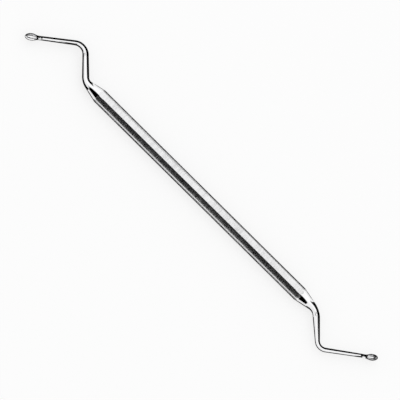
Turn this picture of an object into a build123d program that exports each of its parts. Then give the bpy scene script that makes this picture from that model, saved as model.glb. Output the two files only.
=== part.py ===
from build123d import *
from math import cos, radians, sin, tan
from types import SimpleNamespace
import os

os.makedirs("parts", exist_ok=True)

# Double-ended surgical curette, forged and ground from one steel bar.
# X runs along the handle, Z is up, and the lowest facet of the handle lies on Z = 0.
# Both shanks are bent in the horizontal plane of the handle's axis, so the tool lies flat.
# Lengths are in millimetres and angles in degrees.

# Handle: an octagonal bar, turned to a cone at each end
across_flats = 5.4
facet_count = 8
facet_length = 103.4
handle_edge_radius = 0.22
shoulder_radius = 0.15

# Each end is described outwards from the full section: past the cone the shank bends away
# at the kick, runs out sideways, turns back at the elbow and carries the spoon on its arm.
left = SimpleNamespace(
    outward=-1,
    cone_length=5.4,
    cone_half_angle=13.0,
    kick_radius=4.4,
    kick_angle=47.3,
    run_length=8.75,
    run_start_diameter=2.66,
    run_end_diameter=2.33,
    elbow_radius=4.23,
    elbow_turn=86.8,
    arm_length=15.45,
    arm_start_diameter=1.89,
    neck_diameter=1.56,
    bowl_length=4.95,
    bowl_width=2.72,
    bowl_wall=0.26,
    bowl_tilt=2.0,
    rim_height=0.36,
)
right = SimpleNamespace(
    outward=1,
    cone_length=6.1,
    cone_half_angle=11.6,
    kick_radius=6.0,
    kick_angle=45.3,
    run_length=9.33,
    run_start_diameter=2.68,
    run_end_diameter=1.86,
    elbow_radius=3.3,
    elbow_turn=83.1,
    arm_length=16.78,
    arm_start_diameter=1.72,
    neck_diameter=1.36,
    bowl_length=4.42,
    bowl_width=2.45,
    bowl_wall=0.24,
    bowl_tilt=9.0,
    rim_height=0.30,
)

# Details that both spoons share
bulge_drop = 0.30
neck_blend_radius = 0.9
heel_ramp_radius = 2.6

# Sizes that follow
axis_height = across_flats / 2
bar_radius = axis_height / cos(radians(180 / facet_count))
left_reach = facet_length / 2 + left.cone_length
right_reach = facet_length / 2 + right.cone_length


def cone_end_radius(end):
    """Radius at the small end of the cone, where the round shank begins."""
    return bar_radius - end.cone_length * tan(radians(end.cone_half_angle))


def make_handle():
    """The octagonal bar, with both ends turned down to cones."""
    with BuildPart() as bar:
        with BuildSketch(Plane.YZ.offset(-left_reach)) as section:
            with Locations((0, axis_height)):
                RegularPolygon(axis_height, facet_count, major_radius=False, rotation=180 / facet_count)
            fillet(section.vertices(), handle_edge_radius)
        extrude(amount=left_reach + right_reach)
        with BuildSketch(Plane.XZ):
            with BuildLine():
                Polyline(
                    (-left_reach, axis_height),
                    (-left_reach, axis_height + cone_end_radius(left)),
                    (-facet_length / 2, axis_height + bar_radius),
                    (facet_length / 2, axis_height + bar_radius),
                    (right_reach, axis_height + cone_end_radius(right)),
                    (right_reach, axis_height),
                    close=True,
                )
            make_face()
        revolve(axis=Axis((0, 0, axis_height), (1, 0, 0)), mode=Mode.INTERSECT)
        # Each facet and each rounded corner of the bar runs out on the cones in a curved shoulder
        scallops = bar.faces().filter_by(GeomType.CONE).edges()
        fillet(
            scallops.filter_by(lambda edge: edge.geom_type not in (GeomType.LINE, GeomType.CIRCLE)),
            shoulder_radius,
        )
    return bar.part


def make_bend(line, *radii):
    """A round length of shank along an arc, tapered through evenly spaced sections."""
    with BuildPart() as bend:
        for index, radius in enumerate(radii):
            station = index / (len(radii) - 1)
            with BuildSketch(Plane(origin=line @ station, z_dir=line % station)):
                Circle(radius)
        sweep(path=line, multisection=True)
    return bend.part


def make_straight(line, start_radius, end_radius):
    """A round, tapered length of shank along a straight line."""
    with BuildPart(Plane(origin=line @ 0, z_dir=line % 0)) as straight:
        Cone(start_radius, end_radius, line.length, align=(Align.CENTER, Align.CENTER, Align.MIN))
    return straight.part


def make_spoon(end, arm):
    """The straight arm with the bowl at its end, hollowed and opened upwards."""
    up = Vector(0, 0, 1)
    forward = arm % 1
    tipward = forward * cos(radians(end.bowl_tilt)) + up * sin(radians(end.bowl_tilt))
    mouth_middle = arm @ 1 + forward * end.bowl_length / 4 + up * end.rim_height
    side = Plane(origin=mouth_middle, x_dir=tipward, z_dir=forward.cross(up))
    bulge = Plane(origin=mouth_middle - side.y_dir * bulge_drop, x_dir=tipward, z_dir=side.y_dir)
    long_axis = Axis(bulge.origin, tipward)
    half_length = end.bowl_length / 2
    half_width = end.bowl_width / 2
    with BuildPart() as spoon:
        add(make_straight(arm, end.arm_start_diameter / 2, end.neck_diameter / 2))
        with BuildSketch(bulge):
            with BuildLine():
                back = EllipticalCenterArc((0, 0), half_length, half_width, arc_size=180)
                Line(back @ 1, back @ 0)
            make_face()
        revolve(axis=long_axis)
        fillet(spoon.edges(Select.NEW), neck_blend_radius)
        # Ground flat across the mouth, with a ramp that runs out on top of the neck
        with BuildSketch(side):
            with BuildLine():
                level = Line((end.bowl_length, 0), (-half_length, 0))
                ramp = JernArc(level @ 1, level % 1, heel_ramp_radius, -90)
                Polyline(ramp @ 1, (end.bowl_length, heel_ramp_radius), level @ 0)
            make_face()
        extrude(amount=end.bowl_width, both=True, mode=Mode.SUBTRACT)
        with BuildSketch(bulge):
            with BuildLine():
                well = EllipticalCenterArc(
                    (0, 0), half_length - end.bowl_wall, half_width - end.bowl_wall, arc_size=180
                )
                Line(well @ 1, well @ 0)
            make_face()
        revolve(axis=long_axis, mode=Mode.SUBTRACT)
    return spoon.part


def make_working_end(end):
    """One bent shank, tapered from the cone to the neck, with its spoon."""
    cone_end = (end.outward * (facet_length / 2 + end.cone_length), 0)
    with BuildLine(Plane.XY.offset(axis_height)):
        kick = JernArc(cone_end, (end.outward, 0), end.kick_radius, -end.kick_angle)
        run = Line(kick @ 1, kick @ 1 + (kick % 1) * end.run_length)
        elbow = JernArc(run @ 1, run % 1, end.elbow_radius, end.elbow_turn)
        arm = Line(elbow @ 1, elbow @ 1 + (elbow % 1) * end.arm_length)

    kick_start = cone_end_radius(end)
    kick_end = end.run_start_diameter / 2
    # The middle section makes the taper leave the cone at the cone's own slope
    kick_middle = (3 * kick_start + kick_end - kick.length * tan(radians(end.cone_half_angle))) / 4
    with BuildPart() as working_end:
        add(make_bend(kick, kick_start, kick_middle, kick_end))
        add(make_straight(run, kick_end, end.run_end_diameter / 2))
        add(make_bend(elbow, end.run_end_diameter / 2, end.arm_start_diameter / 2))
        add(make_spoon(end, arm))
    return working_end.part


with BuildPart() as curette:
    add(make_handle())
    add(make_working_end(left))
    add(make_working_end(right))

curette.part.label = "curette"
export_step(curette.part, "parts/curette.step")
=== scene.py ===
# %% [markdown]
# # A double-ended surgical curette
#
# The real tool is one steel forging: an octagonal handle, a bent shank at each end, and a small
# sharp-rimmed spoon on each shank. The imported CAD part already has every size. This lesson builds
# a finer skin of the same sizes over it, gives the steel its grinding marks and polish, and sets
# the camera, floor and lights.
#
# The first cell loads the CAD part as a fixed frame. Its box is kept, because the finished skin
# has to fill the same box. Blender and the frame count in metres, so one millimetre is named too.

# %% Load the frame
from math import asin, cos, pi, radians, sin, sqrt, tan, tau
from types import SimpleNamespace

import bmesh
import bpy
from mathutils import Matrix, Vector


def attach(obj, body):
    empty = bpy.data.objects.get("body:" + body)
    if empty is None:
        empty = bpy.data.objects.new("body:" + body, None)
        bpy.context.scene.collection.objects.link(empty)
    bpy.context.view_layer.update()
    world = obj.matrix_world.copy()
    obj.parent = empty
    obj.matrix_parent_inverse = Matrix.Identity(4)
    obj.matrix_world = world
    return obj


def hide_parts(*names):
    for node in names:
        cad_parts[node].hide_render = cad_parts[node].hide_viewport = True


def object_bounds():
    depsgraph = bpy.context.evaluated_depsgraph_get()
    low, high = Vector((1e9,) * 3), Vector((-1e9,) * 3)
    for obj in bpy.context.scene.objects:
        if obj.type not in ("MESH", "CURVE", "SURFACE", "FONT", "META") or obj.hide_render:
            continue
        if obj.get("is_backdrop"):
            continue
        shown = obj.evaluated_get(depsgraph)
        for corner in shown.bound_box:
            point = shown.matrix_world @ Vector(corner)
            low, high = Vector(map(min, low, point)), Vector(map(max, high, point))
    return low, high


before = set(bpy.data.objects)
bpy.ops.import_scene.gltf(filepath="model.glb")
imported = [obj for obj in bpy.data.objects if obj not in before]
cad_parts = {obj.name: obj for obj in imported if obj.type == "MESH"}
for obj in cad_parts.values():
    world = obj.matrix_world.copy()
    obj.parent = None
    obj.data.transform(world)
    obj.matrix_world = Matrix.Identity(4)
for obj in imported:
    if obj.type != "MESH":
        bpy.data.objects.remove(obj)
cad_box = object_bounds()
MM = 0.001
print("CAD box in mm:", [round(c / MM, 2) for corner in cad_box for c in corner])

# %% [markdown]
# ## Sizes
#
# These are the part's own sizes, in millimetres and degrees. X runs along the handle, Z is up,
# and the handle's lowest facet lies on Z = 0. Modelling in millimetres keeps the numbers readable
# and the booleans exact; the finished mesh is scaled to metres once, at the end.

# %% Name the sizes
ACROSS_FLATS = 5.4
FACETS = 8
FACET_LENGTH = 103.4
HANDLE_EDGE_RADIUS = 0.22

LARGER_END = SimpleNamespace(
    outward=-1, cone_length=5.4, cone_half_angle=13.0, kick_radius=4.4, kick_angle=47.3,
    run_length=8.75, run_start_diameter=2.66, run_end_diameter=2.33,
    elbow_radius=4.23, elbow_turn=86.8,
    arm_length=15.45, arm_start_diameter=1.89, neck_diameter=1.56,
    bowl_length=4.95, bowl_width=2.72, bowl_wall=0.26, bowl_tilt=2.0, rim_height=0.36,
)
SMALLER_END = SimpleNamespace(
    outward=1, cone_length=6.1, cone_half_angle=11.6, kick_radius=6.0, kick_angle=45.3,
    run_length=9.33, run_start_diameter=2.68, run_end_diameter=1.86,
    elbow_radius=3.3, elbow_turn=83.1,
    arm_length=16.78, arm_start_diameter=1.72, neck_diameter=1.36,
    bowl_length=4.42, bowl_width=2.45, bowl_wall=0.24, bowl_tilt=9.0, rim_height=0.30,
)
ENDS = (LARGER_END, SMALLER_END)

BULGE_DROP = 0.30
HEEL_RAMP_RADIUS = 2.6

AXIS_HEIGHT = ACROSS_FLATS / 2
BAR_RADIUS = AXIS_HEIGHT / cos(pi / FACETS)
AXIS_POINT = Vector((0, 0, AXIS_HEIGHT))
UP = Vector((0, 0, 1))


def cone_end_radius(end):
    """Radius where the cone ends and the round shank begins."""
    return BAR_RADIUS - end.cone_length * tan(radians(end.cone_half_angle))


def cone_end_x(end):
    """Place along the handle where the cone ends, without its sign."""
    return FACET_LENGTH / 2 + end.cone_length


print("handle corner radius", round(BAR_RADIUS, 3), "mm")

# %% [markdown]
# ## The handle
#
# The maker turns a round bar on a lathe, with a cone at each end, and then grinds eight flats on
# it. The mesh is made in the same order. A half profile is spun a full turn about the handle's
# axis, and eight plane cuts take away what lies outside the flats. The curved scallops, where
# each flat runs out on the cone, come from the cuts by themselves. The blank is drawn a little
# too thick, so that neighbouring flats meet each other before they reach the round surface.

# %% Turn the round blank
BLANK_RADIUS = BAR_RADIUS + 0.35
TURN_STEPS = 96


def shoulder_x(end):
    """Where the cone, carried on outwards, would reach the blank's radius."""
    return FACET_LENGTH / 2 - (BLANK_RADIUS - BAR_RADIUS) / tan(radians(end.cone_half_angle))


def turn_blank(bm):
    """Spins the half profile of the bar and its two cones about the handle's axis."""
    stations = (
        (-cone_end_x(LARGER_END), cone_end_radius(LARGER_END)),
        (-shoulder_x(LARGER_END), BLANK_RADIUS),
        (shoulder_x(SMALLER_END), BLANK_RADIUS),
        (cone_end_x(SMALLER_END), cone_end_radius(SMALLER_END)),
    )
    profile = [bm.verts.new((x, 0, AXIS_HEIGHT + radius)) for x, radius in stations]
    lines = [bm.edges.new(pair) for pair in zip(profile, profile[1:])]
    bmesh.ops.spin(bm, geom=profile + lines, cent=AXIS_POINT, axis=(1, 0, 0), dvec=(0, 0, 0),
                   angle=tau, steps=TURN_STEPS, use_merge=True)


tool = bmesh.new()
turn_blank(tool)
print("turned blank:", len(tool.verts), "vertices,", len(tool.faces), "faces")

# %% [markdown]
# ## The eight flats
#
# `bisect_plane` slices the whole mesh and throws away the outer side. The open edge that it
# leaves is filled with one flat face. Each face remembers, by its material number, whether it is
# a ground flat or polished metal.

# %% Grind the flats
POLISHED, GROUND, WELL = 0, 1, 2


def grind_flat(bm, number):
    """Cuts one flat of the octagon and closes the cut with a single face."""
    turn = tau * number / FACETS
    outwards = Vector((0, sin(turn), cos(turn)))
    cut = bmesh.ops.bisect_plane(
        bm, geom=bm.verts[:] + bm.edges[:] + bm.faces[:], dist=1e-6,
        plane_co=AXIS_POINT + outwards * AXIS_HEIGHT, plane_no=outwards, clear_outer=True)
    rim = [part for part in cut["geom_cut"] if isinstance(part, bmesh.types.BMEdge)]
    for face in bmesh.ops.edgeloop_fill(bm, edges=rim)["faces"]:
        face.material_index = GROUND


for number in range(FACETS):
    grind_flat(tool, number)
flats = [face for face in tool.faces if face.material_index == GROUND]
print("flats:", len(flats), "of", round(sum(f.calc_area() for f in flats) / len(flats), 1), "mm2 each")

# %% [markdown]
# ## Broken edges
#
# Nothing on a surgical handle is left sharp but the spoons. The long edges and the scallops are
# rounded by a few tenths of a millimetre, and the rounding is what draws the thin bright and dark
# lines along the handle.

# %% Round the handle's edges
EDGE_OFFSET = HANDLE_EDGE_RADIUS * tan(pi / FACETS)


def round_edges(bm, smallest_angle):
    """Bevels every edge that turns by more than the given angle."""
    sharp = [edge for edge in bm.edges
             if edge.is_manifold and edge.calc_face_angle() > radians(smallest_angle)]
    bmesh.ops.bevel(bm, geom=sharp, offset=EDGE_OFFSET, offset_type="OFFSET", segments=4,
                    profile=0.5, affect="EDGES", clamp_overlap=True, material=-1)
    return len(sharp)


bmesh.ops.recalc_face_normals(tool, faces=tool.faces[:])
print("rounded edges:", round_edges(tool, smallest_angle=8))

# %% [markdown]
# ## The bent shanks
#
# The shank is forged thinner and bent. Here the open ring at the end of the cone is carried on:
# `spin` takes it round a bend in small turns, and `extrude_edge_only` takes it along a straight.
# Each new ring is resized about its own middle, which makes the taper. The line that the shank
# follows is worked out first, from the same angles and lengths as the CAD part.

# %% Work out each shank's line


def turned(direction, degrees):
    """A level direction, turned about the vertical."""
    return Matrix.Rotation(radians(degrees), 3, "Z") @ direction


def shank_line(end):
    """Points and directions at the joints of one shank, from the cone to the arm's end."""
    out = Vector((end.outward, 0, 0))
    start = AXIS_POINT + out * cone_end_x(end)
    kick_centre = start + turned(out, -90) * end.kick_radius
    kick_end = kick_centre + turned(start - kick_centre, -end.kick_angle)
    run_way = turned(out, -end.kick_angle)
    run_end = kick_end + run_way * end.run_length
    elbow_centre = run_end + turned(run_way, 90) * end.elbow_radius
    elbow_end = elbow_centre + turned(run_end - elbow_centre, end.elbow_turn)
    arm_way = turned(run_way, end.elbow_turn)
    return SimpleNamespace(
        start=start, kick_centre=kick_centre, kick_end=kick_end, run_end=run_end,
        elbow_centre=elbow_centre, arm_way=arm_way, arm_end=elbow_end + arm_way * end.arm_length)


for end in ENDS:
    print("arm ends at", [round(c, 2) for c in shank_line(end).arm_end], "mm")

# %% [markdown]
# ### Carrying a ring on
#
# A bmesh has no tool that sweeps a tapering ring along a bent line. It could be done with a curve
# and a bevel, but then the shank wouldn't share its vertices with the cone, and the seam would
# show in the polish. So four small helpers take a ring of edges, carry it on by one step, and
# hand back the new ring.

# %% Helpers that carry a ring of edges on


def middle_of(ring):
    """Middle and radius of a ring of vertices."""
    centre = sum((v.co for v in ring), Vector()) / len(ring)
    return centre, (ring[0].co - centre).length


def resize(bm, ring, radius):
    """Scales a ring about its own middle."""
    centre, now = middle_of(ring)
    bmesh.ops.scale(bm, vec=(radius / now,) * 3, space=Matrix.Translation(-centre), verts=ring)


def verts_in(geom):
    """The vertices among an operator's results."""
    return [part for part in geom if isinstance(part, bmesh.types.BMVert)]


def edges_in(geom):
    """The edges among an operator's results."""
    return [part for part in geom if isinstance(part, bmesh.types.BMEdge)]


def bend(bm, edges, centre, degrees, radii):
    """Spins a ring of edges round a bend, one small turn for each radius."""
    for radius in radii:
        ring = list(dict.fromkeys(v for edge in edges for v in edge.verts))
        spun = bmesh.ops.spin(bm, geom=ring + edges, cent=centre, axis=UP, dvec=(0, 0, 0),
                              angle=radians(degrees) / len(radii), steps=1, use_merge=False)
        edges = edges_in(spun["geom_last"])
        resize(bm, verts_in(spun["geom_last"]), radius)
    return edges


def carry(bm, edges, way_before, centre, way, radius):
    """Extrudes a ring of edges and sets the new ring square on a line, at a point of it."""
    grown = bmesh.ops.extrude_edge_only(bm, edges=edges)["geom"]
    ring = verts_in(grown)
    here, now = middle_of(ring)
    place = (Matrix.Translation(centre) @ way_before.rotation_difference(way).to_matrix().to_4x4()
             @ Matrix.Scale(radius / now, 4) @ Matrix.Translation(-here))
    bmesh.ops.transform(bm, matrix=place, verts=ring)
    return [edge for edge in edges_in(grown) if all(v in ring for v in edge.verts)]


def open_ring(bm, x):
    """The boundary edges of the mesh at one place along the handle."""
    return [edge for edge in bm.edges
            if edge.is_boundary and all(abs(v.co.x - x) < 1e-4 for v in edge.verts)]


for end in ENDS:
    print("open ring of", len(open_ring(tool, end.outward * cone_end_x(end))), "edges")

# %% [markdown]
# ## The spoon's body
#
# The bowl's back is half of a long egg whose axis is tipped up a little. The neck swells into it
# without a crease. So the ring at the end of the arm is carried on over a smooth blend, whose
# place, direction and radius all start as the arm's and end as the egg's, and then along the egg
# to its tip, where the last ring is merged to a point.

# %% Carry the rings over the neck and the bowl
BLEND_START = -2.3
BLEND_STEPS = 14
EGG_STEPS = 30
EGG_FROM = 0.60


def spoon_axes(end):
    """The spoon's own directions and the middles of its mouth and of its egg."""
    line = shank_line(end)
    forward = line.arm_way
    tilt = radians(end.bowl_tilt)
    tipward = forward * cos(tilt) + UP * sin(tilt)
    outward = UP * cos(tilt) - forward * sin(tilt)
    mouth = line.arm_end + forward * end.bowl_length / 4 + UP * end.rim_height
    return SimpleNamespace(line=line, forward=forward, tipward=tipward, outward=outward,
                           mouth=mouth, egg=mouth - outward * BULGE_DROP)


def arm_radius(end, distance):
    """Radius of the arm at a distance from its end, negative towards the elbow."""
    share = 1 + distance / end.arm_length
    return (end.arm_start_diameter + (end.neck_diameter - end.arm_start_diameter) * share) / 2


def smooth(first, first_slope, last, last_slope, t):
    """A cubic that leaves and arrives with given values and slopes."""
    return ((2 * t**3 - 3 * t**2 + 1) * first + (t**3 - 2 * t**2 + t) * first_slope
            + (3 * t**2 - 2 * t**3) * last + (t**3 - t**2) * last_slope)


def neck_and_bowl(bm, edges, end):
    """Carries the arm's last ring over the neck and along the egg, and closes it at the tip."""
    axes = spoon_axes(end)
    half_length, half_width = end.bowl_length / 2, end.bowl_width / 2
    way = axes.forward
    blend_from = axes.line.arm_end + axes.forward * BLEND_START
    blend_to = axes.egg - axes.tipward * half_length * EGG_FROM
    reach = (blend_to - blend_from).length
    swell = sqrt(1 - EGG_FROM**2)
    egg_slope = half_width / half_length * EGG_FROM / swell
    arm_slope = (end.neck_diameter - end.arm_start_diameter) / 2 / end.arm_length
    for step in range(1, BLEND_STEPS + 1):
        t = step / BLEND_STEPS
        centre = smooth(blend_from, axes.forward * reach, blend_to, axes.tipward * reach, t)
        radius = smooth(arm_radius(end, BLEND_START), arm_slope * reach,
                        half_width * swell, egg_slope * reach, t)
        heading = axes.forward.slerp(axes.tipward, t)
        edges = carry(bm, edges, way, centre, heading, radius)
        way = heading
    first_angle = -asin(EGG_FROM)
    for step in range(1, EGG_STEPS):
        angle = first_angle + (pi / 2 - first_angle) * step / EGG_STEPS
        centre = axes.egg + axes.tipward * half_length * sin(angle)
        edges = carry(bm, edges, way, centre, way, half_width * cos(angle))
    tip = bmesh.ops.extrude_edge_only(bm, edges=edges)["geom"]
    bmesh.ops.pointmerge(bm, verts=verts_in(tip), merge_co=axes.egg + axes.tipward * half_length)


for end in ENDS:
    print("middle of the mouth at", [round(c, 2) for c in spoon_axes(end).mouth], "mm")

# %% [markdown]
# ### Both shanks in one go
#
# The smith draws the bar out thinner as it leaves the handle, so the taper must not start with a
# corner. Through the kick the radius follows a curve that leaves the cone at the cone's own slope.
# After that it falls evenly to the neck. The two shanks differ only in their sizes, so one
# function makes both, and the mesh is closed at the end.

# %% Draw out both shanks
KICK_STEPS = 20
ELBOW_STEPS = 24


def kick_radii(end):
    """The taper through the kick, a curve that leaves the cone at the cone's own slope."""
    first, last = cone_end_radius(end), end.run_start_diameter / 2
    drop = end.kick_radius * radians(end.kick_angle) * tan(radians(end.cone_half_angle))
    middle = (3 * first + last - drop) / 4
    stations = [step / KICK_STEPS for step in range(1, KICK_STEPS + 1)]
    return [first * (1 - t) * (1 - 2 * t) + middle * 4 * t * (1 - t) + last * t * (2 * t - 1)
            for t in stations]


def draw_shank(bm, end):
    """One shank and spoon, from the cone's open ring to the tip."""
    line = shank_line(end)
    edges = open_ring(bm, end.outward * cone_end_x(end))
    edges = bend(bm, edges, line.kick_centre, -end.kick_angle, kick_radii(end))
    run_way = (line.run_end - line.kick_end).normalized()
    edges = carry(bm, edges, run_way, line.run_end, run_way, end.run_end_diameter / 2)
    first, last = end.run_end_diameter / 2, end.arm_start_diameter / 2
    elbow_radii = [first + (last - first) * step / ELBOW_STEPS for step in range(1, ELBOW_STEPS + 1)]
    edges = bend(bm, edges, line.elbow_centre, end.elbow_turn, elbow_radii)
    way = line.arm_way
    blend_from = line.arm_end + way * BLEND_START
    edges = carry(bm, edges, way, blend_from, way, arm_radius(end, BLEND_START))
    neck_and_bowl(bm, edges, end)


for end in ENDS:
    draw_shank(tool, end)
bmesh.ops.recalc_face_normals(tool, faces=tool.faces[:])
open_edges = sum(1 for edge in tool.edges if not edge.is_manifold)
print("tool:", len(tool.faces), "faces,", open_edges, "open edges,",
      round(tool.calc_volume(signed=True)), "mm3 before the spoons are hollowed")

# %% [markdown]
# ## Hollowing the spoons
#
# The mouth of each spoon is ground flat, with a small ramp at the heel, and the well inside is an
# egg a wall's thickness smaller than the outside. Both are cuts in a curved body, so each is a
# Boolean with a cutter. The mouth's cutter is a side profile with a quarter turn spun on it,
# extruded across the spoon. The well's cutter is a sphere drawn out to an egg.

# %% Make the cutters


def spoon_matrix(end, origin):
    """Places a cutter: its X towards the tip, its Z out of the mouth."""
    axes = spoon_axes(end)
    across = axes.outward.cross(axes.tipward)
    turn = Matrix((axes.tipward, across, axes.outward)).transposed().to_4x4()
    return Matrix.Translation(origin) @ turn


def mouth_cutter(bm, end):
    """Everything above the flat mouth and the heel's ramp."""
    half_length, width = end.bowl_length / 2, end.bowl_width
    heel = bm.verts.new((-half_length, -width, 0))
    front = bm.verts.new((end.bowl_length, -width, 0))
    above = bm.verts.new((end.bowl_length, -width, HEEL_RAMP_RADIUS))
    ramp = bmesh.ops.spin(bm, geom=[heel], cent=(-half_length, -width, HEEL_RAMP_RADIUS),
                          axis=(0, 1, 0), dvec=(0, 0, 0), angle=pi / 2, steps=24,
                          use_merge=False)["geom_last"]
    bm.edges.new((heel, front))
    bm.edges.new((front, above))
    bm.edges.new((above, verts_in(ramp)[0]))
    side = bmesh.ops.edgeloop_fill(bm, edges=bm.edges[:])["faces"]
    other = verts_in(bmesh.ops.extrude_face_region(bm, geom=side)["geom"])
    bmesh.ops.translate(bm, vec=(0, 2 * width, 0), verts=other)
    bmesh.ops.transform(bm, matrix=spoon_matrix(end, spoon_axes(end).mouth), verts=bm.verts[:])


def well_cutter(bm, end):
    """The smaller egg inside the bowl, with its poles at tip and heel."""
    shape = Matrix.Diagonal((end.bowl_length / 2 - end.bowl_wall, end.bowl_width / 2 - end.bowl_wall,
                             end.bowl_width / 2 - end.bowl_wall, 1))
    bmesh.ops.create_uvsphere(
        bm, u_segments=64, v_segments=48, radius=1,
        matrix=spoon_matrix(end, spoon_axes(end).egg) @ shape @ Matrix.Rotation(pi / 2, 4, "Y"))


def to_object(bm, name):
    """Moves a bmesh into a new object in the scene."""
    mesh = bpy.data.meshes.new(name)
    bm.to_mesh(mesh)
    bm.free()
    piece = bpy.data.objects.new(name, mesh)
    bpy.context.scene.collection.objects.link(piece)
    return piece


cutters = []
for end, side in zip(ENDS, ("larger", "smaller")):
    for shape, name, number in ((mouth_cutter, "mouth", POLISHED), (well_cutter, "well", WELL)):
        block = bmesh.new()
        shape(block, end)
        bmesh.ops.recalc_face_normals(block, faces=block.faces[:])
        for face in block.faces:
            face.material_index = number
        cutters.append(to_object(block, f"{side}_{name}_cutter"))
print("cutters:", [c.name for c in cutters])

# %% [markdown]
# ## The steel
#
# The tool needs its material slots before the cut, because the Boolean gives each new face the
# number of the cutter's slot. The materials start empty here and get their nodes below.

# %% Cut the spoons
curette = to_object(tool, "curette_steel")
for name in ("polished_steel", "cross_ground_steel", "satin_well_steel"):
    made = bpy.data.materials.new(name)
    made.use_nodes = True
    curette.data.materials.append(made)
    for cutter in cutters:
        cutter.data.materials.append(made)


def apply_modifiers(piece):
    """Replaces a piece's mesh by what its modifiers make of it."""
    bpy.context.view_layer.update()
    graph = bpy.context.evaluated_depsgraph_get()
    made = bpy.data.meshes.new_from_object(piece.evaluated_get(graph))
    piece.modifiers.clear()
    piece.data = made


for cutter in cutters:
    cut = curette.modifiers.new("cut", "BOOLEAN")
    cut.operation = "DIFFERENCE"
    cut.solver = "EXACT"
    cut.object = cutter
    apply_modifiers(curette)
for cutter in cutters:
    bpy.data.objects.remove(cutter)
print("after the cuts:", len(curette.data.polygons), "faces, materials",
      [sum(1 for p in curette.data.polygons if p.material_index == n) for n in range(3)])

# %% [markdown]
# ### Back to metres, and how the faces are shaded
#
# The cuts leave a few doubled vertices, which are merged before the mesh is scaled to metres.
# Smooth shading rounds the shanks, and edges that turn by a larger angle stay sharp, which
# keeps the spoons' cutting rims. The weighted normals give the large flats the say over the
# narrow rounded edges, so each flat mirrors like a true plane.

# %% Finish the mesh
SHARP_ANGLE = 28

finish = bmesh.new()
finish.from_mesh(curette.data)
bmesh.ops.remove_doubles(finish, verts=finish.verts[:], dist=1e-5)
bmesh.ops.scale(finish, vec=(MM,) * 3, verts=finish.verts[:])
finish.to_mesh(curette.data)
print("open edges:", sum(1 for edge in finish.edges if not edge.is_manifold), "volume",
      round(finish.calc_volume(signed=True) / MM**3, 1), "mm3")
finish.free()
curette.data.shade_smooth()
curette.data.set_sharp_from_angle(angle=radians(SHARP_ANGLE))
weigh = curette.modifiers.new("flat_facets", "WEIGHTED_NORMAL")
weigh.keep_sharp = True
weigh.weight = 100

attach(curette, "root")
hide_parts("curette")
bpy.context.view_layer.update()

# %% [markdown]
# ## Helpers for nodes
#
# A node tree built in code gets long, because each node needs its settings, its values and its
# links. One helper takes all three, so that each node below reads as one line. A second one makes
# a node group with named inputs and outputs, for an effect that more than one material uses.

# %% Add nodes and groups


def node(tree, kind, sockets=(), **settings):
    """Adds a shader node. Its sockets are given values, or links from other sockets."""
    made = tree.nodes.new(kind)
    for name, value in settings.items():
        setattr(made, name, value)
    for name, value in dict(sockets).items():
        if isinstance(value, bpy.types.NodeSocket):
            tree.links.new(value, made.inputs[name])
        else:
            made.inputs[name].default_value = value
    return made


def calc(tree, operation, *values):
    """The result of a Math node."""
    return node(tree, "ShaderNodeMath", dict(enumerate(values)), operation=operation).outputs[0]


def ramp(tree, value, first, last):
    """0 up to the first limit and 1 from the last one, with a smooth rise between them."""
    sockets = {"Value": value, "From Min": first, "From Max": last}
    return node(tree, "ShaderNodeMapRange", sockets, interpolation_type="SMOOTHSTEP").outputs["Result"]


def blend(tree, share, first, last):
    """Mixes two numbers."""
    return node(tree, "ShaderNodeMix", {"Factor": share, "A": first, "B": last},
                data_type="FLOAT").outputs["Result"]


def noise(tree, place, scale=1.0, detail=2.0):
    """A noise value between 0 and 1."""
    sockets = {"Vector": place, "Scale": scale, "Detail": detail}
    return node(tree, "ShaderNodeTexNoise", sockets).outputs["Fac"]


def stretch(tree, place, along, across):
    """Places in units of a streak: its size along the handle and its size across it."""
    return node(tree, "ShaderNodeVectorMath", {0: place, 1: (1 / along, 1 / across, 1 / across)},
                operation="MULTIPLY").outputs["Vector"]


def group(name, inputs, outputs):
    """A node group with named sockets. Returns it with its input and output sockets."""
    made = bpy.data.node_groups.new(name, "ShaderNodeTree")
    for socket, kind in inputs:
        made.interface.new_socket(socket, in_out="INPUT", socket_type=f"NodeSocket{kind}")
    for socket, kind in outputs:
        made.interface.new_socket(socket, in_out="OUTPUT", socket_type=f"NodeSocket{kind}")
    return made, made.nodes.new("NodeGroupInput").outputs, made.nodes.new("NodeGroupOutput").inputs


def use_group(tree, made, **sockets):
    """Puts a node group into a material. Returns its outputs."""
    return node(tree, "ShaderNodeGroup", sockets, node_tree=made).outputs


print("helpers:", [f.__name__ for f in (node, calc, ramp, blend, noise, stretch, group, use_group)])

# %% [markdown]
# ## Polish
#
# The cones, the shanks and the backs of the spoons are polished with a soft wheel. Up close such
# steel still shows faint hairlines, and handling leaves soft smudges. Neither changes the colour
# much: they make the shine a little wider here and narrower there. All three finishes use this
# group, the ground ones at a lower strength. Places are in millimetres from the handle's axis.

# %% Group the polishing marks
polish, given, result = group("polishing_marks", [("Place", "Vector")],
                              [("Smudges", "Float"), ("Hairlines", "Float")])
smudges = noise(polish, given["Place"], scale=0.55, detail=3)
polish.links.new(ramp(polish, smudges, 0.38, 0.66), result["Smudges"])
lengthwise = noise(polish, stretch(polish, given["Place"], along=2.4, across=0.035))
crosswise = noise(polish, stretch(polish, given["Place"], along=0.04, across=1.7))
hairlines = calc(polish, "MAXIMUM", ramp(polish, lengthwise, 0.58, 0.7),
                 ramp(polish, crosswise, 0.6, 0.72))
polish.links.new(hairlines, result["Hairlines"])
print("group", polish.name, "with", len(polish.nodes), "nodes")

# %% [markdown]
# ## Grinding marks
#
# The eight flats are ground across the handle. The wheel leaves fine lines, square to the axis
# and about half a millimetre apart, deeper in some patches than in others. They are what turns
# the mirrored dark card into the ribbed dark grey of the photograph. The lines come from a noise
# that is squeezed along the handle and drawn out across it. Evenly spaced bands are mixed in,
# because the ribs in the photograph are fairly regular, and then finer lines. The places are
# divided by the pitch first, so that one unit is one line.

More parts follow.
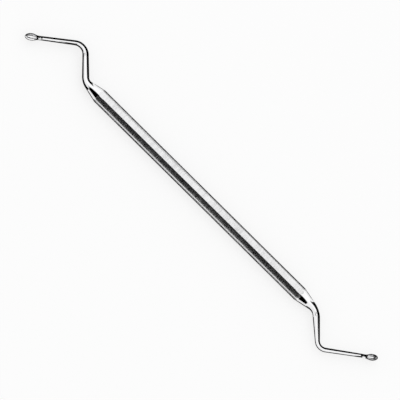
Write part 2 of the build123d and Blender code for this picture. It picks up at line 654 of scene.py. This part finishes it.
# %% Group the grinding marks
BANDS_ONE_UNIT_APART = 0.314
BAND_SHARE, FINE_SHARE = 0.45, 0.25
SHALLOWEST_PATCH = 0.55

grinding, given, result = group("grinding_marks", [("Place", "Vector"), ("Pitch", "Float")],
                                [("Marks", "Float"), ("Patches", "Float")])
scaled = node(grinding, "ShaderNodeVectorMath", {0: given["Place"], 1: given["Pitch"]},
              operation="DIVIDE").outputs["Vector"]
ribs = noise(grinding, stretch(grinding, scaled, along=1.0, across=9.0), detail=1)
steady = node(grinding, "ShaderNodeTexWave", {
    "Vector": scaled, "Scale": BANDS_ONE_UNIT_APART,
    "Distortion": 1.6, "Detail": 1.0, "Detail Scale": 0.5},
    wave_type="BANDS", bands_direction="X").outputs["Fac"]
fine = noise(grinding, stretch(grinding, scaled, along=0.22, across=4.0))
patches = ramp(grinding, noise(grinding, given["Place"], scale=0.16), 0.36, 0.62)
lines = blend(grinding, BAND_SHARE, ramp(grinding, ribs, 0.36, 0.64), steady)
lines = blend(grinding, FINE_SHARE, lines, ramp(grinding, fine, 0.35, 0.65))
depth = blend(grinding, patches, SHALLOWEST_PATCH, 1.0)
grinding.links.new(calc(grinding, "MULTIPLY", lines, depth), result["Marks"])
grinding.links.new(patches, result["Patches"])
print("group", grinding.name, "with", len(grinding.nodes), "nodes")

# %% [markdown]
# ## Worn edges
#
# Fingers and trays rub the long rounded edges of the octagon brighter than the flats between
# them. The angle around the axis, counted in facets, says how near an edge is: it is halfway
# between two whole numbers there. A little noise makes the worn band uneven.

# %% Group the worn edges
WORN_FROM, WORN_FULL = 0.425, 0.47
UNEVENNESS = 0.05

wear, given, result = group("worn_edges", [("Place", "Vector")], [("Worn", "Float")])
axes = node(wear, "ShaderNodeSeparateXYZ", {"Vector": given["Place"]}).outputs
turns = calc(wear, "MULTIPLY", calc(wear, "ARCTAN2", axes["Y"], axes["Z"]), FACETS / tau)
near_edge = calc(wear, "PINGPONG", turns, 0.5)
uneven = noise(wear, given["Place"], scale=1.3, detail=3)
uneven = calc(wear, "MULTIPLY_ADD", uneven, UNEVENNESS, -UNEVENNESS / 2)
wear.links.new(ramp(wear, calc(wear, "ADD", near_edge, uneven), WORN_FROM, WORN_FULL), result["Worn"])
print("worn band", round(2 * (0.5 - WORN_FROM) * tau / FACETS * BAR_RADIUS, 2), "mm wide")

# %% [markdown]
# ## Three finishes
#
# Each finish is the same bright steel. The marks decide how far each spot scatters the shine, and
# a very small bump lets them catch light from the side when the tool is turned. Steel could be
# given one roughness for the whole tool, but the photograph shows three surfaces that take the
# light differently, so three materials share the two helpers of this cell.

# %% Write the steel's nodes
BLUE_TINT = 1.008


def start_material(name):
    """An emptied material, with places in millimetres from the middle of the handle's axis."""
    tree = bpy.data.materials[name].node_tree
    tree.nodes.clear()
    place = node(tree, "ShaderNodeTexCoord").outputs["Object"]
    place = node(tree, "ShaderNodeMapping", {
        "Vector": place, "Scale": (1 / MM,) * 3, "Location": -AXIS_POINT}).outputs["Vector"]
    return tree, place


def finish_material(tree, brightness, roughness, height, bump_depth, metallic=1.0):
    """Steel of a given brightness, with its roughness and a bump of a depth in millimetres."""
    colour = node(tree, "ShaderNodeCombineColor", {
        "Red": brightness, "Green": brightness,
        "Blue": calc(tree, "MULTIPLY", brightness, BLUE_TINT)}).outputs["Color"]
    normal = node(tree, "ShaderNodeBump", {
        "Strength": 1.0, "Distance": bump_depth * MM, "Height": height}).outputs["Normal"]
    shader = node(tree, "ShaderNodeBsdfPrincipled", {
        "Base Color": colour, "Metallic": metallic, "Roughness": roughness, "Normal": normal})
    node(tree, "ShaderNodeOutputMaterial", {"Surface": shader.outputs["BSDF"]})


print("empty materials:", [m.name for m in curette.data.materials])

# %% [markdown]
# ### The polished shanks and cones
#
# These parts are the smoothest. The reflections stay sharp enough to draw the room as clean dark
# and white lines, and only the smudges and hairlines soften them here and there. Each finish has
# its brightness and its roughness as a pair, without marks and where the marks are deepest.

# %% Write the polished steel
POLISHED_BRIGHTNESS = (0.87, 0.84)
POLISHED_ROUGHNESS = (0.07, 0.11)
HAIRLINE_ROUGHNESS, HAIRLINE_DEPTH = 0.03, 0.0002
SMUDGE_ROUGHNESS = 0.03

tree, place = start_material("polished_steel")
marks = use_group(tree, polish, Place=place)
brightness = blend(tree, marks["Smudges"], *POLISHED_BRIGHTNESS)
roughness = blend(tree, marks["Smudges"], *POLISHED_ROUGHNESS)
roughness = calc(tree, "MULTIPLY_ADD", marks["Hairlines"], HAIRLINE_ROUGHNESS, roughness)
finish_material(tree, brightness, roughness, marks["Hairlines"], HAIRLINE_DEPTH)
print("polished steel:", len(tree.nodes), "nodes, brightness", POLISHED_BRIGHTNESS)

# %% [markdown]
# ### The ground facets
#
# The flats are a little darker than the polished parts, and each grinding line scatters the light
# more than the steel beside it does. In the lines the metal is mixed with a few parts in a hundred
# of plain matte grey, because a real groove scatters light over and over, which one mirror bounce
# doesn't do. Along the edges the lines are rubbed away.

# %% Write the cross-ground steel
RIB_PITCH, RIB_DEPTH = 0.52, 0.004
GROUND_BRIGHTNESS = (0.82, 0.62)
GROUND_ROUGHNESS = (0.12, 0.28)
GROUND_METALLIC = (1.0, 0.93)
WORN_BRIGHTNESS, WORN_ROUGHNESS = 0.82, 0.13

tree, place = start_material("cross_ground_steel")
marks = use_group(tree, grinding, Place=place, Pitch=RIB_PITCH)
rubbed = use_group(tree, polish, Place=place)
worn = use_group(tree, wear, Place=place)["Worn"]
brightness = blend(tree, marks["Marks"], *GROUND_BRIGHTNESS)
brightness = blend(tree, worn, brightness, WORN_BRIGHTNESS)
roughness = blend(tree, marks["Marks"], *GROUND_ROUGHNESS)
roughness = calc(tree, "MULTIPLY_ADD", rubbed["Smudges"], SMUDGE_ROUGHNESS, roughness)
roughness = blend(tree, worn, roughness, WORN_ROUGHNESS)
height = blend(tree, worn, marks["Marks"], 0.0)
metallic = blend(tree, height, *GROUND_METALLIC)
finish_material(tree, brightness, roughness, height, RIB_DEPTH, metallic)
print("cross-ground steel:", len(tree.nodes), "nodes, lines", RIB_PITCH, "mm apart")

# %% [markdown]
# ### The wells of the spoons
#
# The inside of each bowl is milled and then only brushed, so it is finely mottled. It gets the
# grinding marks once more, half as deep, and a speckle of its own.

# %% Write the satin wells
WELL_BRIGHTNESS = (0.92, 0.8)
WELL_ROUGHNESS = (0.07, 0.16)
WELL_PITCH, WELL_DEPTH = 0.5, 0.002

tree, place = start_material("satin_well_steel")
marks = use_group(tree, grinding, Place=place, Pitch=WELL_PITCH)
rubbed = use_group(tree, polish, Place=place)
speckle = ramp(tree, noise(tree, place, scale=2.6, detail=3), 0.35, 0.65)
brightness = blend(tree, speckle, *WELL_BRIGHTNESS)
roughness = blend(tree, speckle, *WELL_ROUGHNESS)
roughness = calc(tree, "MULTIPLY_ADD", rubbed["Smudges"], SMUDGE_ROUGHNESS, roughness)
finish_material(tree, brightness, roughness, marks["Marks"], WELL_DEPTH)
print("materials:", {m.name: len(m.node_tree.nodes) for m in curette.data.materials})

# %% [markdown]
# ## Camera
#
# The photograph looks down on the tool, tipped by 22.5 degrees, from far away. A very long lens
# does the same. The camera is rolled so that the handle runs from the upper left to the lower
# right. It aims at a point a few pixels off the middle of the handle, as the photograph does.

# %% Set the camera
TILT = radians(22.5)
ROLL_COS, ROLL_SIN = 0.71100, 0.70319
AIM_RIGHT, AIM_DOWN = 0.38, 5.06
MM_PER_PIXEL = 0.3682
FRAME_PIXELS = 400
LENS, SENSOR = 800, 36

towards_camera = Vector((0, -sin(TILT), cos(TILT)))
across_handle = Vector((0, cos(TILT), sin(TILT)))
along_handle = Vector((1, 0, 0))
image_right = ROLL_COS * along_handle + ROLL_SIN * across_handle
image_up = -ROLL_SIN * along_handle + ROLL_COS * across_handle
aim = AXIS_POINT + (image_right * AIM_RIGHT - image_up * AIM_DOWN) * MM_PER_PIXEL
distance = FRAME_PIXELS * MM_PER_PIXEL * LENS / SENSOR

camera = bpy.data.objects.new("camera", bpy.data.cameras.new("camera"))
camera.data.lens, camera.data.sensor_width = LENS, SENSOR
camera.data.clip_start, camera.data.clip_end = 0.01, 50
pose = Matrix((image_right, image_up, towards_camera)).transposed().to_4x4()
camera.matrix_world = Matrix.Translation((aim + towards_camera * distance) * MM) @ pose
bpy.context.scene.collection.objects.link(camera)
bpy.context.scene.camera = camera
bpy.context.scene.view_settings.view_transform = "Standard"
print("camera", round(distance), "mm away")

# %% [markdown]
# ## World
#
# Polished steel has hardly any colour of its own: it shows its surroundings. They are a plain
# white room. The world lights the object a little less than it shows, so that together with the
# softbox it reaches a plain level.

# %% Make the white room
WORLD_LIGHT = 0.9


def seen_by_eye_or_metal(tree):
    """1 for rays from the camera, in reflections and through glass, and 0 for lighting."""
    path = node(tree, "ShaderNodeLightPath").outputs
    shiny = calc(tree, "MAXIMUM", path["Is Glossy Ray"], path["Is Transmission Ray"])
    return calc(tree, "MAXIMUM", path["Is Camera Ray"], shiny)


world = bpy.data.worlds.new("studio")
world.use_nodes = True
room = world.node_tree
room.nodes.clear()
strength = blend(room, seen_by_eye_or_metal(room), WORLD_LIGHT, 1.0)
sky = node(room, "ShaderNodeBackground", {"Color": (1, 1, 1, 1), "Strength": strength})
node(room, "ShaderNodeOutputWorld", {"Surface": sky.outputs["Background"]})
bpy.context.scene.world = world
print("world strength", WORLD_LIGHT, "as light and 1 as seen")

# %% [markdown]
# ## Floor
#
# A sheet of white paper. Most of what the eye sees of it is a plain glow at strength 1, so the
# background is white without more light on the steel. The rest is diffuse paper, which keeps the
# tool's soft shadow.

# %% Lay the paper
FLOOR_HALF_SIZE = 4.0
FLOOR_GLOW = 0.74
PAPER_WHITE = 0.92


def stage_material(name):
    """A new material for the stage, with no nodes in it yet."""
    made = bpy.data.materials.new(name)
    made.use_nodes = True
    made.node_tree.nodes.clear()
    return made


sheet = bmesh.new()
bmesh.ops.create_grid(sheet, x_segments=1, y_segments=1, size=FLOOR_HALF_SIZE)
floor = to_object(sheet, "floor")
paper = stage_material("white_paper")
tree = paper.node_tree
glow_share = calc(tree, "MULTIPLY", seen_by_eye_or_metal(tree), FLOOR_GLOW)
matte = node(tree, "ShaderNodeBsdfDiffuse", {"Color": (PAPER_WHITE,) * 3 + (1,)}).outputs["BSDF"]
glow = node(tree, "ShaderNodeEmission", {"Color": (1, 1, 1, 1), "Strength": 1.0}).outputs["Emission"]
seen = node(tree, "ShaderNodeMixShader", {"Fac": glow_share, 1: matte, 2: glow}).outputs["Shader"]
node(tree, "ShaderNodeOutputMaterial", {"Surface": seen})
floor.data.materials.append(paper)
floor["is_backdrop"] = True
print("paper:", 2 * FLOOR_HALF_SIZE, "m wide, with a share of glow of", FLOOR_GLOW)

# %% [markdown]
# ## Softbox
#
# One very wide lamp hangs where the upper facet mirrors it. It adds a little to the room's own
# white, and it gives the shanks their white middles.

# %% Hang the softbox
LAMP_DISTANCE = 0.9
LAMP_RADIANCE = 0.15

softbox = bpy.data.lights.new("softbox", "AREA")
softbox.shape = "RECTANGLE"
softbox.size, softbox.size_y = 2.4, 1.6
softbox.energy = LAMP_RADIANCE * pi * softbox.size * softbox.size_y
lamp = bpy.data.objects.new("softbox", softbox)
lamp_way = Vector((0, sin(TILT), cos(TILT)))
lamp.location = lamp_way * LAMP_DISTANCE
lamp.rotation_euler = lamp_way.to_track_quat("Z", "Y").to_euler()
lamp.visible_camera = False
bpy.context.scene.collection.objects.link(lamp)
print("softbox", round(softbox.energy, 2), "W")

# %% [markdown]
# ## Cards for the reflections
#
# In an all-white room polished steel would vanish against the paper. A photographer stands dark
# card close to it, just out of the picture, and the metal mirrors it as dark lines. The cards
# could be painted into the steel's colour, but then the lines would stay in place when the tool
# or the eye moves, as they never do on metal. So they are real sheets here, which only
# reflections see: they cast no shadow and take no light from the tool. Each is painted on its
# front alone, because a second dark side would draw lines that the photograph doesn't have.
# The sheets that lie on the paper under the tool and its shanks are painted shade: they put the dark of
# the gap under the tool into its reflections.

# %% Make the card


def card_material(name, shade):
    """Card that is painted on its front. Its back lets reflections through."""
    made = stage_material(name)
    paint = node(made.node_tree, "ShaderNodeBsdfDiffuse", {"Color": (shade, shade, shade, 1)})
    back = node(made.node_tree, "ShaderNodeNewGeometry").outputs["Backfacing"]
    clear = node(made.node_tree, "ShaderNodeBsdfTransparent", {"Color": (1, 1, 1, 1)})
    both = node(made.node_tree, "ShaderNodeMixShader", {
        "Fac": back, 1: paint.outputs["BSDF"], 2: clear.outputs["BSDF"]})
    node(made.node_tree, "ShaderNodeOutputMaterial", {"Surface": both.outputs["Shader"]})
    return made


BLACK = card_material("black_card", 0.0)
GREY = card_material("grey_card", 0.02)
print("cards:", BLACK.name, "and", GREY.name)

# %% [markdown]
# ### From a sheet to a card
#
# Sheets are drawn in millimetres, as the tool was. One helper makes any sheet a card, and a
# second one cuts the plain sheets that have all their corners in one plane.

# %% Cut a sheet


def card(bm, name, paint=BLACK):
    """Turns sheets drawn in millimetres into a card that only reflections see."""
    bmesh.ops.scale(bm, vec=(MM,) * 3, verts=bm.verts[:])
    made = to_object(bm, name)
    made.data.materials.append(paint)
    made.visible_camera = False
    made.visible_diffuse = False
    made.visible_shadow = False
    made.visible_transmission = False
    made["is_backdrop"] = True


def flat_card(name, corners, paint=BLACK):
    """A card with the given corners. They go round to the left as its painted front is seen."""
    bm = bmesh.new()
    bm.faces.new([bm.verts.new(corner) for corner in corners])
    card(bm, name, paint)


print("helpers:", card.__name__, "and", flat_card.__name__)

# %% [markdown]
# ### Cards round the handle
#
# The dark facet mirrors a deep grey card that stands in front of the handle, with a roof over it.
# The card ends just where the facet does in the mirror, so the rounded edge below the facet shows
# the white room as a thin bright line. The two cones taper, so their dark patches need black head
# cards of their own, cut to a slant. A low card close behind the handle gives the far facet its
# narrow dark outline. The sides that turn down to the paper mirror a black sheet of painted shade,
# which lies on the paper under and beside the tool and stands for the dark gap under it.

# %% Stand the handle's cards
CARD_LEVEL = 0.05
FRONT_CARD_Y, FRONT_CARD_FOOT, FRONT_CARD_END = -5.5, 5.08, 53.0
HEAD_CARD_FOOT, SMALLER_HEAD_CARD_Y = 3.7, -3.6
ROOF_Z, ROOF_BACK, ROOF_END = 12.0, -0.6, 50.0
BACK_CARD_Y, BACK_CARD_TOP, BACK_CARD_END = 4.0, 3.85, 52.0
UNDER_FRONT, UNDER_FRONT_AT_CONES, UNDER_BACK = -3.99, -4.79, 12.6


def standing_card(name, y, outline, paint=BLACK):
    """A card that stands along the handle, from its outline in X and Z."""
    flat_card(name, [(x, y, z) for x, z in outline], paint)


standing_card("front_card", FRONT_CARD_Y, (
    (FRONT_CARD_END, FRONT_CARD_FOOT), (-FRONT_CARD_END, FRONT_CARD_FOOT),
    (-FRONT_CARD_END, ROOF_Z), (FRONT_CARD_END, ROOF_Z)), GREY)
standing_card("larger_head_card", FRONT_CARD_Y, (
    (-FRONT_CARD_END, FRONT_CARD_FOOT), (-53.3, HEAD_CARD_FOOT), (-57.8, HEAD_CARD_FOOT),
    (-60.0, 8.0), (-63.5, 22.0), (-FRONT_CARD_END, 22.0)))
standing_card("smaller_head_card", SMALLER_HEAD_CARD_Y, (
    (FRONT_CARD_END, 14.0), (58.0, 14.0), (58.0, 8.0), (57.2, 5.2),
    (56.6, HEAD_CARD_FOOT), (53.3, HEAD_CARD_FOOT), (FRONT_CARD_END, 4.4)))
flat_card("roof_card", [(x, y, ROOF_Z) for x, y in (
    (-ROOF_END, FRONT_CARD_Y), (-ROOF_END, ROOF_BACK), (ROOF_END, ROOF_BACK), (ROOF_END, FRONT_CARD_Y))])
standing_card("back_card", BACK_CARD_Y, (
    (-BACK_CARD_END, CARD_LEVEL), (BACK_CARD_END, CARD_LEVEL),
    (BACK_CARD_END, BACK_CARD_TOP), (-BACK_CARD_END, BACK_CARD_TOP)))
shoulder, larger_cone, smaller_cone = FACET_LENGTH / 2, cone_end_x(LARGER_END), cone_end_x(SMALLER_END)
# Painted shade: a black sheet on the paper under and beside the tool, which only reflections see.
flat_card("under_shade_card", [(x, y, CARD_LEVEL) for x, y in (
    (-shoulder, UNDER_FRONT), (shoulder, UNDER_FRONT), (smaller_cone, UNDER_FRONT_AT_CONES),
    (smaller_cone, UNDER_BACK), (-larger_cone, UNDER_BACK), (-larger_cone, UNDER_FRONT_AT_CONES))])
print("front card", -FRONT_CARD_Y, "mm in front of the axis, from z", FRONT_CARD_FOOT, "to", ROOF_Z)

# %% [markdown]
# ### A line of places along each shank
#
# The shanks bend, so their card has to bend with them. First come the places where it is cut:
# close together in the bends and far apart on the straights. Each place also has a number, which
# says how high the walls are there. On the arm the places are counted from its end, where the
# spoon begins.

# %% Walk along a shank
BEND_STATIONS = 12
ELBOW_NUMBER, ELBOW_RISE = 0.15, 0.25
ARM_FROM, ARM_TO, SPOON_FROM, PAST_TIP = 5.0, -4.6, -2.4, 7.0


def stations(end):
    """Points and directions along a shank. Each has a number: 0 run, 1 arm, 2 spoon, 3 end."""
    line = shank_line(end)
    way = Vector((end.outward, 0, 0))
    for step in range(BEND_STATIONS + 1):
        degrees = -end.kick_angle * step / BEND_STATIONS
        yield line.kick_centre + turned(line.start - line.kick_centre, degrees), turned(way, degrees), 0
    way = turned(way, -end.kick_angle)
    for step in range(BEND_STATIONS + 1):
        degrees = end.elbow_turn * step / BEND_STATIONS
        spot = line.elbow_centre + turned(line.run_end - line.elbow_centre, degrees)
        yield spot, turned(way, degrees), ELBOW_NUMBER + ELBOW_RISE * step / BEND_STATIONS
    beyond = end.bowl_length * 3 / 4 + PAST_TIP
    for past, number in ((ARM_FROM - end.arm_length, 1), (ARM_TO, 1), (SPOON_FROM, 2), (beyond, 3)):
        yield line.arm_end + line.arm_way * past, line.arm_way, number


def between(values, number):
    """A value read from a short list at a place between two of its numbers."""
    first = min(int(number), len(values) - 2)
    return values[first] + (values[first + 1] - values[first]) * (number - first)


print("places along a shank:", len(list(stations(LARGER_END))))

# %% [markdown]
# ### Trays along the shanks
#
# Each shank gets a tray that follows its bends: a high wall behind it, which draws the thick dark
# line, a floor under it, and a low wall in front for the thin line. The floor is painted shade: it
# puts the dark of the gap under the shank into the shank's reflections. A profile of four corners
# stands square on the shank's line at each place, and faces join it to the one before.

# %% Bend a tray along each shank
TRAY_BACK = 2.2


def tray(end, front, back_tops, front_tops):
    """A bent card with a wall behind the shank, a lower one in front of it, and a floor of painted shade
    under it.
    """
    bm = bmesh.new()
    before = None
    for point, way, number in stations(end):
        behind = turned(way, 90 * end.outward)
        ground = Vector((point.x, point.y, CARD_LEVEL))
        profile = [bm.verts.new(ground - behind * front + UP * between(front_tops, number)),
                   bm.verts.new(ground - behind * front),
                   bm.verts.new(ground + behind * TRAY_BACK),
                   bm.verts.new(ground + behind * TRAY_BACK + UP * between(back_tops, number))]
        if before:
            for near, far in zip(range(3), range(1, 4)):
                corners = (before[near], before[far], profile[far], profile[near])
                bm.faces.new(corners if end.outward < 0 else corners[::-1])
        before = profile
    bm.faces.new(before[::-1] if end.outward < 0 else before)
    return bm


# The floor of each tray is painted shade under the shank, which only reflections see.
card(tray(LARGER_END, front=3.4, back_tops=(7.5, 22, 10.2, 8), front_tops=(3.8, 4.0, 4.0, 4.0)),
     "larger_shank_tray")
card(tray(SMALLER_END, front=5.0, back_tops=(8.5, 20, 13.3, 2.7), front_tops=(2.0, 2.9, 7.0, 7.0)),
     "smaller_shank_tray")

# %% [markdown]
# ### Cards for the spoons
#
# Near its tip, a spoon's well mirrors what stands far behind its heel. A card there gives the
# well a dark patch. The smaller spoon's card can hang over its own arm. The larger one's would
# also show in its arm, so it stands farther off and is larger, with a corner cut away where the
# top of the handle would mirror it. The flat rim of the smaller spoon is tipped up and mirrors a
# place high overhead, where a third card hangs.

# %% Hang the spoons' cards


def spoon_card(end, name, outline, behind):
    """A card that hangs well behind a spoon, from its outline across the arm and in Z."""
    line = shank_line(end)
    foot = line.arm_end - line.arm_way * behind
    across = turned(line.arm_way, 90)
    spots = [(foot + across * side, z) for side, z in outline]
    flat_card(name, [Vector((spot.x, spot.y, z)) for spot, z in spots])


def rim_card(end, name, away=200.0, half_size=26.0):
    """A card far overhead, just where the flat rim of a spoon mirrors it."""
    axes = spoon_axes(end)
    mirrored = 2 * towards_camera.dot(axes.outward) * axes.outward - towards_camera
    middle = axes.mouth + mirrored * away
    first = mirrored.orthogonal().normalized() * half_size
    second = mirrored.cross(first)
    flat_card(name, [middle + spot for spot in (first, -second, -first, second)])


spoon_card(LARGER_END, "larger_spoon_card", (
    (-65.0, 44.0), (33.0, 44.0), (10.0, 88.0), (-27.0, 158.0), (-65.0, 158.0)), behind=100.0)
spoon_card(SMALLER_END, "smaller_spoon_card", (
    (-12.0, 8.4), (12.0, 8.4), (12.0, 34.0), (-12.0, 34.0)), behind=12.0)
rim_card(SMALLER_END, "smaller_rim_card")

# %% [markdown]
# ## Measuring the result
#
# The skin has to fill the CAD part's own box, no more and no less. Both boxes are put side by side,
# and the skin's box is printed in millimetres.

# %% Measure and finish
size = {"cad": [list(c) for c in cad_box], "visual": [list(c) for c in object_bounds()]}
print("visual box in mm:", [round(c / MM, 2) for corner in size["visual"] for c in corner])
